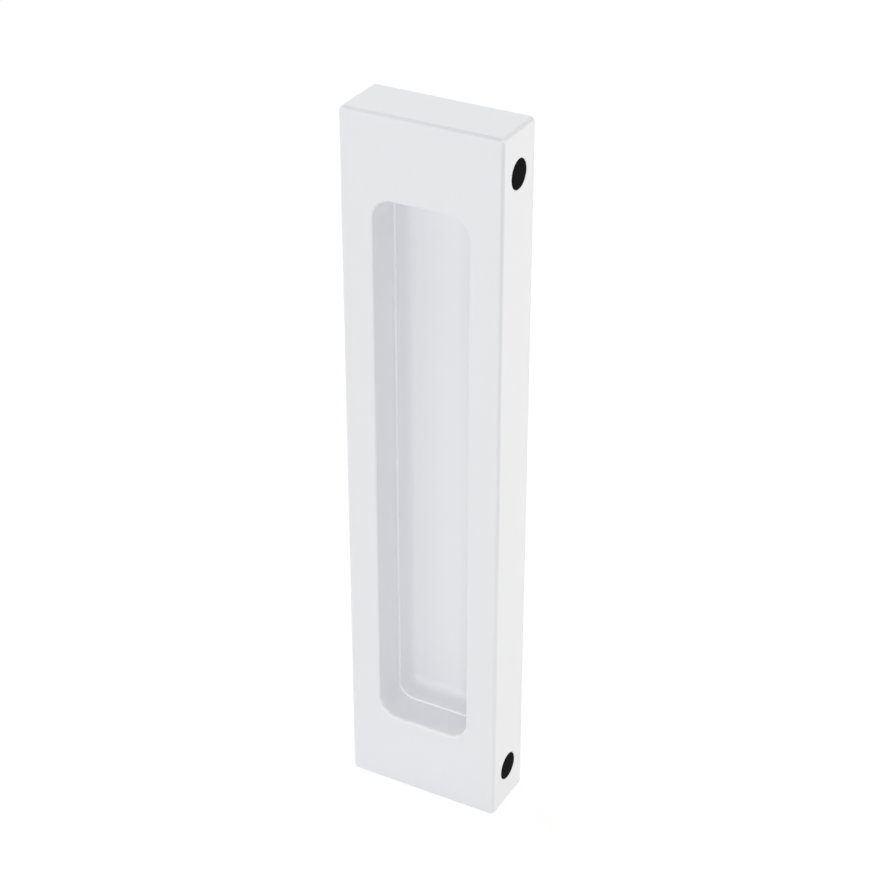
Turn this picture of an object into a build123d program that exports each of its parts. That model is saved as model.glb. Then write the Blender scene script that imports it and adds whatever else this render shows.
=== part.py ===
from build123d import *
import math
import os

os.makedirs("parts", exist_ok=True)

# Frame: millimetres, +Z up along the bar, front face towards -Y.
# The origin is the centre of the back face.

# Bar that the pull is milled from
bar_height = 180.0
bar_width = 40.0
bar_depth = 15.0
outline_radius = 1.2  # the four short edges that run from front to back
edge_round = 0.8  # along the front face and along the back face

# Finger pocket, milled into the front face in two passes with a tapered cutter
end_margin = 20.0  # solid metal between the pocket and each end of the bar
side_margin = 8.0  # solid metal between the pocket and each side of the bar
pocket_corner_radius = 5.0
mouth_round = 0.6  # rounded lip of the pocket
wall_draft = 6.0  # degrees that the pocket's walls lean outwards
wall_depth = 8.1  # upper wall, from the front face down to the step
step_width = 0.5  # narrow shelf left between the two passes
floor_fillet = 2.3  # round that the cutter's corner leaves at the floor
back_wall = 1.2  # metal left behind the pocket floor

# Fixing holes, drilled from the right side face through to the left side face
hole_from_end = 10.5
screw_hole_diameter = 4.0  # clearance for a 3.5 mm screw
head_bore_diameter = 7.0  # takes the screw's head, then the plug
head_bore_break = 0.15  # deburred rim of the bore
screw_head_room = 4.0  # bore left free behind the plug for the screw's head

# Plug pushed into each head bore
plug_length = 7.0
plug_head_height = 1.2
plug_head_round = 0.2
plug_head_clearance = 0.05  # head to bore wall, all round
plug_rib_clearance = 0.02  # tip of a pressed rib to bore wall
plug_rib_count = 6
plug_rib_height = 0.35  # how far a rib stands out from the skirt
plug_rib_width = 0.7
plug_skirt_wall = 1.0
plug_nose_break = 0.5

# Places worked out from the sizes above
front_y = -bar_depth
right_x = bar_width / 2
hole_y = front_y / 2
hole_heights = {"upper": bar_height / 2 - hole_from_end, "lower": hole_from_end - bar_height / 2}
head_bore_depth = plug_length + screw_head_room
pocket_height = bar_height - 2 * end_margin
pocket_width = bar_width - 2 * side_margin
wall_lean = wall_depth * math.tan(math.radians(wall_draft))
floor_pass_inset = wall_lean + step_width
floor_pass_depth = bar_depth - wall_depth - back_wall
floor_pass_radius = pocket_corner_radius - floor_pass_inset
floor_corner_radius = floor_pass_radius - floor_pass_depth * math.tan(math.radians(wall_draft))


def below_front(depth):
    """Plane at a depth under the front face, with its normal out of the front and its y axis up the bar."""
    return Plane(origin=(0, front_y + depth, 0), x_dir=(1, 0, 0), z_dir=(0, -1, 0))


def below_side(z, depth):
    """Plane at a depth under the right side face, centred on the fixing hole at height z."""
    return Plane(origin=(right_x - depth, hole_y, z), x_dir=(0, 1, 0), z_dir=(1, 0, 0))


def cut_bar():
    """Bar with rounded corners in the front view, and small rounds along its front and back faces."""
    outline = below_front(0) * RectangleRounded(bar_width, bar_height, outline_radius)
    bar = extrude(outline, amount=-bar_depth)
    faces = bar.faces().sort_by(Axis.Y)
    return fillet(faces[0].edges() + faces[-1].edges(), edge_round)


def wall_pass():
    """First milling pass: the upper wall of the pocket."""
    outline = RectangleRounded(pocket_width, pocket_height, pocket_corner_radius)
    return extrude(below_front(0) * outline, amount=-wall_depth, taper=wall_draft)


def floor_pass():
    """Second pass, one step width further in all round, with the round at the floor."""
    outline = RectangleRounded(
        pocket_width - 2 * floor_pass_inset,
        pocket_height - 2 * floor_pass_inset,
        floor_pass_radius,
    )
    cut = extrude(below_front(wall_depth) * outline, amount=-floor_pass_depth, taper=wall_draft)
    radius = min(floor_fillet, 0.9 * floor_corner_radius, 0.9 * floor_pass_depth)
    return fillet(cut.faces().sort_by(Axis.Y)[-1].edges(), radius)


def fixing_hole(z):
    """Screw clearance hole across the whole bar, with the head bore at the right side face."""
    screw_hole = extrude(below_side(z, 0) * Circle(screw_hole_diameter / 2), amount=-bar_width)
    head_bore = extrude(below_side(z, 0) * Circle(head_bore_diameter / 2), amount=-head_bore_depth)
    return screw_hole + head_bore


def pull_body():
    """The milled bar: pocket, holes, and then the lip of the pocket and the rims of the bores."""
    body = cut_bar() - wall_pass() - floor_pass()
    for z in hole_heights.values():
        body -= fixing_hole(z)
    mouth = body.faces().sort_by(Axis.Y)[0].inner_wires().edges()
    body = fillet(mouth, mouth_round)
    bore_rims = body.faces().sort_by(Axis.X)[-1].inner_wires().edges()
    return chamfer(bore_rims, head_bore_break)


def cover_plug(z):
    """Push-in plug: flat round head, hollow skirt and crush ribs, flush with the right side face."""
    bore_radius = head_bore_diameter / 2
    rib_radius = bore_radius - plug_rib_clearance
    skirt_radius = rib_radius - plug_rib_height
    skirt_length = plug_length - plug_head_height
    under_head = below_side(z, plug_head_height)

    head = extrude(below_side(z, 0) * Circle(bore_radius - plug_head_clearance), amount=-plug_head_height)
    head = fillet(head.edges().group_by(Axis.X)[-1], plug_head_round)

    envelope = extrude(under_head * Circle(rib_radius), amount=-skirt_length)
    envelope = chamfer(envelope.edges().group_by(Axis.X)[0], plug_nose_break)
    section = Circle(skirt_radius)
    rib = Rectangle(rib_radius, plug_rib_width, align=(Align.MIN, Align.CENTER))
    section += PolarLocations(0, plug_rib_count) * rib
    section -= Circle(skirt_radius - plug_skirt_wall)
    skirt = extrude(under_head * section, amount=-skirt_length) & envelope
    return head + skirt


export_step(pull_body(), "parts/body.step")
for place, height in hole_heights.items():
    export_step(cover_plug(height), f"parts/plug_{place}.step")
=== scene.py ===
"""Pocket door pull: a milled and powder coated aluminium bar with two black push-in plugs."""

import math

import bpy
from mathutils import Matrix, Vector


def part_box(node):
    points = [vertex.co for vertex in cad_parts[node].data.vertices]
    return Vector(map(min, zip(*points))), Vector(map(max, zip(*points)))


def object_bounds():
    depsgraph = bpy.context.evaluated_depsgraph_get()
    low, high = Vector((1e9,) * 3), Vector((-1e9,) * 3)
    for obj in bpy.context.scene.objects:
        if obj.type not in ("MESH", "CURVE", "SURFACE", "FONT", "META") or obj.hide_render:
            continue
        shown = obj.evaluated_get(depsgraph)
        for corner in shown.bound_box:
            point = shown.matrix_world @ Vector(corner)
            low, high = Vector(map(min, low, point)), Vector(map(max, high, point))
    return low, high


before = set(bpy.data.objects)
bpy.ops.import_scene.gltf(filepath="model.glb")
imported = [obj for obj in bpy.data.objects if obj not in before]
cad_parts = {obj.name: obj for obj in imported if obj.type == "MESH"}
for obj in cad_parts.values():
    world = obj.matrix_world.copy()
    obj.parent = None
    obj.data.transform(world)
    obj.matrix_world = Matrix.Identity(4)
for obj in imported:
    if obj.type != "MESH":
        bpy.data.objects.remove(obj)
cad_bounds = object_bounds()
scene = bpy.context.scene

# Body
# A length of aluminium flat bar with the finger pocket milled into its front, etched, sprayed with white
# polyester powder and baked. The coat flows smooth with a faint orange peel. Its colour holds painted shade
# along the edges at the front, top and right, darkest towards the top, and a painted highlight on the pocket's lower
# lip and step.
BODY_LOW, BODY_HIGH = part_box("body")
COAT_WHITE = "#F0F1F4"
PAINTED_EDGE_SHADE = "#DADBDF"  # painted shade over the front, top and right edges
COAT_ROUGHNESS = 0.42
POLYESTER_IOR = 1.5
PEEL_SPACING = 0.0014  # orange peel, from crest to crest
PEEL_HEIGHT = 0.000004
POWDER_GRAIN = 0.00025  # the finest unevenness that the powder leaves
POWDER_HEIGHT = 0.0000006
EDGE_SHADE_REACH = 0.0007  # how far onto the front face the painted edge shade reaches
DARKEST_SHADE_SHARE = 0.4  # of that reach, over which the painted shade is at its darkest
BACKWARD_SHARE = 0.65  # distance back from the front face counts for less, so the painted shade reaches further there
TOP_RIGHT_SHARE = 0.7  # and so does distance from the edge between the top and the right side
LOWER_END_SHADE_SHARE = 0.3  # how strong the painted edge shade still is at the lower end; it is strongest at the top
PAINTED_LIP_HIGHLIGHT = "#FBFCFD"  # painted highlight, lighter on the pocket's lower lip and step
POCKET_HALF_WIDTH = 0.012
POCKET_HALF_HEIGHT = 0.070
POCKET_CORNER = 0.005
LIP_ON_FRONT = (0.00045, 0.00009)  # from the pocket's outline out to where the painted highlight ends, and where it is full
LIP_DOWN_WALL = (0.0012, 0.0006)  # the same from the front face down the wall
STEP_DEPTH = 0.0081  # under the front face
STEP_BAND = 0.0001  # above and below the step
LOWER_END = (0.065, 0.067)  # below the middle, from where the painted highlight starts, and where it is full


def linear(hex_colour):
    """The linear colour of an sRGB hex value, with an alpha of 1."""
    parts = [int(hex_colour[i : i + 2], 16) / 255 for i in (1, 3, 5)]
    return [c / 12.92 if c <= 0.04045 else ((c + 0.055) / 1.055) ** 2.4 for c in parts] + [1.0]


def add_node(tree, kind, settings=None, inputs=None, links=None):
    """A node with its settings, its input values and the sockets that feed its inputs."""
    node = tree.nodes.new(kind)
    for name, value in (settings or {}).items():
        setattr(node, name, value)
    for key, value in (inputs or {}).items():
        node.inputs[key].default_value = value
    for key, socket in (links or {}).items():
        tree.links.new(socket, node.inputs[key])
    return node


def new_material(name):
    """An empty node material and its output node."""
    material = bpy.data.materials.new(name)
    material.use_nodes = True
    material.node_tree.nodes.clear()
    output = material.node_tree.nodes.new("ShaderNodeOutputMaterial")
    return material, material.node_tree, output


def painted_edge_shade_mask(tree, place, low, high):
    """1 where the painted edge shade is darkest and 0 where there is none, along the edges of the front, top and
    right side faces, weaker towards the lower end.
    """
    from_planes = add_node(
        tree,
        "ShaderNodeVectorMath",
        {"operation": "SUBTRACT"},
        {1: (high.x, low.y, high.z)},
        {0: place},
    )
    distance = add_node(tree, "ShaderNodeVectorMath", {"operation": "ABSOLUTE"}, None, {0: from_planes.outputs[0]})
    weighed = add_node(
        tree,
        "ShaderNodeVectorMath",
        {"operation": "MULTIPLY"},
        {1: (1.0, BACKWARD_SHARE, 1.0)},
        {0: distance.outputs[0]},
    )
    right, front, top = add_node(tree, "ShaderNodeSeparateXYZ", None, None, {0: weighed.outputs[0]}).outputs
    front_right = add_node(tree, "ShaderNodeMath", {"operation": "ADD"}, None, {0: right, 1: front})
    top_front = add_node(tree, "ShaderNodeMath", {"operation": "ADD"}, None, {0: top, 1: front})
    right_and_top = add_node(tree, "ShaderNodeMath", {"operation": "ADD"}, None, {0: right, 1: top})
    top_right = add_node(
        tree,
        "ShaderNodeMath",
        {"operation": "MULTIPLY"},
        {1: TOP_RIGHT_SHARE},
        {0: right_and_top.outputs[0]},
    )
    nearest = add_node(
        tree,
        "ShaderNodeMath",
        {"operation": "MINIMUM"},
        None,
        {0: front_right.outputs[0], 1: top_front.outputs[0]},
    )
    nearest = add_node(
        tree,
        "ShaderNodeMath",
        {"operation": "MINIMUM"},
        None,
        {0: nearest.outputs[0], 1: top_right.outputs[0]},
    )
    # Painted shade: the colour darkens towards the edges of the front, top and right side faces.
    edge_shade_ramp = add_node(
        tree,
        "ShaderNodeMapRange",
        {"interpolation_type": "SMOOTHSTEP"},
        {"From Min": EDGE_SHADE_REACH, "From Max": DARKEST_SHADE_SHARE * EDGE_SHADE_REACH},
        {"Value": nearest.outputs[0]},
    )
    # The painted edge shade is strongest at the top end and weaker towards the lower end.
    shade_towards_top = add_node(
        tree,
        "ShaderNodeMapRange",
        None,
        {"From Min": 0.0, "From Max": high.z - low.z, "To Min": 1.0, "To Max": LOWER_END_SHADE_SHARE},
        {"Value": top},
    )
    return add_node(
        tree,
        "ShaderNodeMath",
        {"operation": "MULTIPLY"},
        None,
        {0: edge_shade_ramp.outputs[0], 1: shade_towards_top.outputs[0]},
    )


def painted_lip_highlight_mask(tree, place, low, high):
    """1 where a highlight is painted on the lip and the step at the pocket's lower end, and 0 elsewhere."""
    axes = add_node(tree, "ShaderNodeSeparateXYZ", None, None, {0: place})
    from_middle = add_node(tree, "ShaderNodeVectorMath", {"operation": "ABSOLUTE"}, None, {0: place})
    whole_depth = high.y - low.y  # taken off, so that only the distances across and up the front face count
    from_corner_centre = add_node(
        tree,
        "ShaderNodeVectorMath",
        {"operation": "SUBTRACT"},
        {1: (POCKET_HALF_WIDTH - POCKET_CORNER, whole_depth, POCKET_HALF_HEIGHT - POCKET_CORNER)},
        {0: from_middle.outputs[0]},
    )
    outwards = add_node(
        tree,
        "ShaderNodeVectorMath",
        {"operation": "MAXIMUM"},
        {1: (0.0, 0.0, 0.0)},
        {0: from_corner_centre.outputs[0]},
    )
    radius = add_node(tree, "ShaderNodeVectorMath", {"operation": "LENGTH"}, None, {0: outwards.outputs[0]})
    on_rim = add_node(
        tree,
        "ShaderNodeMapRange",
        {"interpolation_type": "SMOOTHSTEP"},
        {"From Min": POCKET_CORNER + LIP_ON_FRONT[0], "From Max": POCKET_CORNER + LIP_ON_FRONT[1]},
        {"Value": radius.outputs["Value"]},
    )
    near_front = add_node(
        tree,
        "ShaderNodeMapRange",
        {"interpolation_type": "SMOOTHSTEP"},
        {"From Min": low.y + LIP_DOWN_WALL[0], "From Max": low.y + LIP_DOWN_WALL[1]},
        {"Value": axes.outputs["Y"]},
    )
    lip = add_node(
        tree,
        "ShaderNodeMath",
        {"operation": "MULTIPLY"},
        None,
        {0: on_rim.outputs[0], 1: near_front.outputs[0]},
    )
    step_level = add_node(
        tree,
        "ShaderNodeMath",
        {"operation": "COMPARE"},
        {1: low.y + STEP_DEPTH, 2: STEP_BAND},
        {0: axes.outputs["Y"]},
    )
    in_pocket = add_node(
        tree,
        "ShaderNodeMath",
        {"operation": "LESS_THAN"},
        {1: POCKET_CORNER},
        {0: radius.outputs["Value"]},
    )
    step = add_node(
        tree,
        "ShaderNodeMath",
        {"operation": "MULTIPLY"},
        None,
        {0: step_level.outputs[0], 1: in_pocket.outputs[0]},
    )
    either = add_node(
        tree,
        "ShaderNodeMath",
        {"operation": "MAXIMUM"},
        None,
        {0: lip.outputs[0], 1: step.outputs[0]},
    )
    lower_end = add_node(
        tree,
        "ShaderNodeMapRange",
        {"interpolation_type": "SMOOTHSTEP"},
        {"From Min": -LOWER_END[0], "From Max": -LOWER_END[1]},
        {"Value": axes.outputs["Z"]},
    )
    return add_node(
        tree,
        "ShaderNodeMath",
        {"operation": "MULTIPLY"},
        None,
        {0: either.outputs[0], 1: lower_end.outputs[0]},
    )


def white_powder_coat():
    """Satin polyester powder coat: bright, with a broad soft sheen and a fine peel, and a colour with painted shade
    along the front, top and right edges and a painted highlight on the pocket's lower lip and step.
    """
    material, tree, output = new_material("white_powder_coat")
    place = add_node(tree, "ShaderNodeTexCoord").outputs["Object"]
    edge_shade_mask = painted_edge_shade_mask(tree, place, BODY_LOW, BODY_HIGH)
    # Painted shade: the coat's white darkens to a grey along the front, top and right edges.
    with_edge_shade = add_node(
        tree,
        "ShaderNodeMix",
        {"data_type": "RGBA"},
        {"A": linear(COAT_WHITE), "B": linear(PAINTED_EDGE_SHADE)},
        {"Factor": edge_shade_mask.outputs[0]},
    )
    lip_highlight_mask = painted_lip_highlight_mask(tree, place, BODY_LOW, BODY_HIGH)
    # Painted highlight: the colour lightens to near white on the pocket's lower lip and step.
    colour = add_node(
        tree,
        "ShaderNodeMix",
        {"data_type": "RGBA"},
        {"B": linear(PAINTED_LIP_HIGHLIGHT)},
        {"A": with_edge_shade.outputs["Result"], "Factor": lip_highlight_mask.outputs[0]},
    )
    peel = add_node(
        tree,
        "ShaderNodeTexNoise",
        None,
        {"Scale": 1 / PEEL_SPACING, "Detail": 1.0, "Roughness": 0.4},
        {"Vector": place},
    )
    grain = add_node(
        tree,
        "ShaderNodeTexNoise",
        None,
        {"Scale": 1 / POWDER_GRAIN, "Detail": 2.0, "Roughness": 0.5},
        {"Vector": place},
    )
    peel_bump = add_node(
        tree,
        "ShaderNodeBump",
        None,
        {"Strength": 1.0, "Distance": PEEL_HEIGHT},
        {"Height": peel.outputs[0]},
    )
    grain_bump = add_node(
        tree,
        "ShaderNodeBump",
        None,
        {"Strength": 1.0, "Distance": POWDER_HEIGHT},
        {"Height": grain.outputs[0], "Normal": peel_bump.outputs[0]},
    )
    shader = add_node(
        tree,
        "ShaderNodeBsdfPrincipled",
        None,
        {"Roughness": COAT_ROUGHNESS, "IOR": POLYESTER_IOR, "Metallic": 0.0},
        {"Base Color": colour.outputs["Result"], "Normal": grain_bump.outputs[0]},
    )
    tree.links.new(shader.outputs[0], output.inputs[0])
    return material


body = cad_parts["body"]
body.material_slots[0].material = white_powder_coat()

# Plugs
# Push-in plugs moulded in black polyethylene, one over each screw. The mould is spark eroded,
# so the flat head is dead matt, and it sits flush with the coated side face.
PLUG_BLACK = "#0D0D0E"
PLUG_ROUGHNESS = 0.75
PLUG_SHEEN_LEVEL = 0.03  # the grain traps nearly all of the sheen that the clear plastic would have
SPARK_GRAIN = 0.00012
SPARK_HEIGHT = 0.000004


def black_polyethylene():
    """Moulded black polyethylene with a fine spark-eroded grain."""
    material, tree, output = new_material("black_polyethylene")
    place = add_node(tree, "ShaderNodeTexCoord").outputs["Object"]
    grain = add_node(
        tree,
        "ShaderNodeTexNoise",
        None,
        {"Scale": 1 / SPARK_GRAIN, "Detail": 2.0, "Roughness": 0.6},
        {"Vector": place},
    )
    bump = add_node(
        tree,
        "ShaderNodeBump",
        None,
        {"Strength": 1.0, "Distance": SPARK_HEIGHT},
        {"Height": grain.outputs[0]},
    )
    shader = add_node(
        tree,
        "ShaderNodeBsdfPrincipled",
        None,
        {
            "Base Color": linear(PLUG_BLACK),
            "Roughness": PLUG_ROUGHNESS,
            "Specular IOR Level": PLUG_SHEEN_LEVEL,
        },
        {"Normal": bump.outputs[0]},
    )
    tree.links.new(shader.outputs[0], output.inputs[0])
    return material


plug_finish = black_polyethylene()
for plug in ("plug_upper", "plug_lower"):
    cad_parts[plug].material_slots[0].material = plug_finish

# Floor
# A white studio table. The camera and reflections see it as plain white, with a share of
# its real lit surface mixed in, so that the pull's soft shadow still shows.
FLOOR_SIDE = 4.0
FLOOR_COLOUR = "#F2F2F2"
FLOOR_WHITE = 1.06
FLOOR_WHITE_SHARE = 0.85


def seen_by_camera(tree):
    """1 for a camera, glossy or transmission ray, and 0 for the rays that carry the floor's light to the pull."""
    path = add_node(tree, "ShaderNodeLightPath")
    seen = add_node(
        tree,
        "ShaderNodeMath",
        {"operation": "MAXIMUM"},
        None,
        {0: path.outputs["Is Camera Ray"], 1: path.outputs["Is Glossy Ray"]},
    )
    return add_node(
        tree,
        "ShaderNodeMath",
        {"operation": "MAXIMUM"},
        None,
        {0: seen.outputs[0], 1: path.outputs["Is Transmission Ray"]},
    )


def white_table():
    """White table top, seen as plain white with a faint shadow."""
    material, tree, output = new_material("white_table")
    lit = add_node(tree, "ShaderNodeBsdfDiffuse", None, {"Color": linear(FLOOR_COLOUR)})
    white = add_node(tree, "ShaderNodeEmission", None, {"Strength": FLOOR_WHITE})
    share = add_node(
        tree,
        "ShaderNodeMath",
        {"operation": "MULTIPLY"},
        {1: FLOOR_WHITE_SHARE},
        {0: seen_by_camera(tree).outputs[0]},
    )
    mixed = add_node(
        tree,
        "ShaderNodeMixShader",
        None,
        None,
        {0: share.outputs[0], 1: lit.outputs[0], 2: white.outputs[0]},
    )
    tree.links.new(mixed.outputs[0], output.inputs[0])
    return material


bpy.ops.object.select_all(action="DESELECT")
bpy.ops.mesh.primitive_plane_add(size=FLOOR_SIDE, location=(0, 0, cad_bounds[0][2]))
floor = bpy.context.active_object
floor.name = "studio_floor"
bpy.ops.object.transform_apply(location=True, rotation=True, scale=True)
floor.data.materials.append(white_table())

# Studio light
# A bright white room with five round soft boxes that all face the pull: two in front of it, one at
# each side and one overhead. The one at the right side is a little warmer than the rest. Turn is
# counted round from the front to the right, and rise up from level.
ROOM_LIGHT = 0.44
BOX_REACH = 1.8  # from the pull to each soft box
BOX_WIDTH = 1.2
SOFT_BOXES = {
    "right_front_box": {"turn": 20, "rise": 8, "watts": 7.8, "colour": "#FFFFFF"},
    "left_front_box": {"turn": -25, "rise": 10, "watts": 3.7, "colour": "#FFFFFF"},
    "right_side_box": {"turn": 115, "rise": 10, "watts": 12.4, "colour": "#FFFCF3"},
    "left_side_box": {"turn": -100, "rise": 45, "watts": 11.0, "colour": "#FFFFFF"},
    "overhead_box": {"turn": 0, "rise": 80, "watts": 3.6, "colour": "#FFFFFF"},
}

world = bpy.data.worlds.new("white_room")
scene.world = world
world.use_nodes = True
world.node_tree.nodes.clear()
room_output = world.node_tree.nodes.new("ShaderNodeOutputWorld")
room_level = add_node(
    world.node_tree,
    "ShaderNodeMapRange",
    None,
    {"To Min": ROOM_LIGHT, "To Max": 1.0},
    {"Value": seen_by_camera(world.node_tree).outputs[0]},
)
room = add_node(
    world.node_tree,
    "ShaderNodeBackground",
    None,
    {"Color": linear("#FFFFFF")},
    {"Strength": room_level.outputs[0]},
)
world.node_tree.links.new(room.outputs[0], room_output.inputs[0])

middle = (BODY_LOW + BODY_HIGH) / 2
for name, box in SOFT_BOXES.items():
    lamp = bpy.data.lights.new(name, "AREA")
    lamp.shape = "DISK"
    lamp.size = BOX_WIDTH
    lamp.energy = box["watts"]
    lamp.color = linear(box["colour"])[:3]
    holder = bpy.data.objects.new(name, lamp)
    scene.collection.objects.link(holder)
    turn, rise = math.radians(box["turn"]), math.radians(box["rise"])
    outward = Vector((math.sin(turn) * math.cos(rise), -math.cos(turn) * math.cos(rise), math.sin(rise)))
    holder.location = middle + BOX_REACH * outward
    holder.rotation_euler = outward.to_track_quat("Z", "Y").to_euler()

# Camera
# The photograph's place, worked out from the edges of the block: a long lens half a metre away,
# 29 degrees round to the right of the front and looking 31 degrees down.
CAMERA_PLACE = (0.21570, -0.40038, 0.27386)
CAMERA_TURN = math.radians(28.67)  # round to the right, about the vertical
CAMERA_DIP = math.radians(30.63)  # down from level
SENSOR_WIDTH = 36.0
PICTURE_WIDTH = 880
FOCAL_PIXELS = 2252.6

lens = bpy.data.cameras.new("camera")
lens.sensor_width = SENSOR_WIDTH
lens.lens = SENSOR_WIDTH * FOCAL_PIXELS / PICTURE_WIDTH
lens.clip_start = 0.01
camera = bpy.data.objects.new("camera", lens)
scene.collection.objects.link(camera)
camera.location = CAMERA_PLACE
camera.rotation_euler = (math.pi / 2 - CAMERA_DIP, 0, CAMERA_TURN)
scene.camera = camera
scene.view_settings.view_transform = "Standard"
